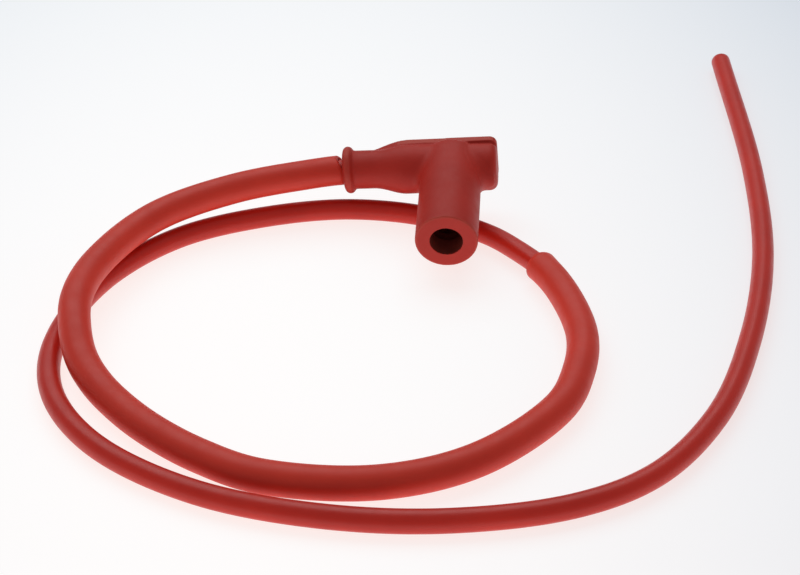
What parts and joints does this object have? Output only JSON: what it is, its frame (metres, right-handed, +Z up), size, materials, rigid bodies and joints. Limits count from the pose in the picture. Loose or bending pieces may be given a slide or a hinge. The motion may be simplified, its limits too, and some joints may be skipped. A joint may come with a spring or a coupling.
{
  "type": "spark plug wire",
  "caption": "Silicone ignition lead laid in a loop, with a thicker protective sleeve over its plug half and a moulded right-angle spark plug boot with a flat back plate.",
  "frame": {"origin": "under the middle of the laid part's box, at the height of the surface it lies on", "axes": "+Z up from that surface, the shortest way across the part; +Y away from the viewer of the picture, the longest way; +X to the right"},
  "size_m": [0.236, 0.2752, 0.029],
  "materials": {
    "boot_silicone": "moulded silicone, satin, brick red",
    "lead_silicone": "extruded silicone, satin, red",
    "sleeve_silicone": "extruded silicone, satin, red",
    "housing_resin": "moulded resin, black",
    "brass": "turned brass, bare",
    "spring_steel": "spring steel wire, bare",
    "ceramic": "glazed ceramic rod with pressed metal end caps"
  },
  "bodies": {
    "root": {"elbow_boot": "boot_silicone", "terminal_housing": "housing_resin", "plug_terminal": "brass", "terminal_clip": "spring_steel", "resistor": "ceramic", "contact_spring": "spring_steel", "elbow_contact": "brass", "lead_screw": "brass", "ignition_lead": "lead_silicone", "outer_sleeve": "sleeve_silicone"}
  },
  "joints": []
}
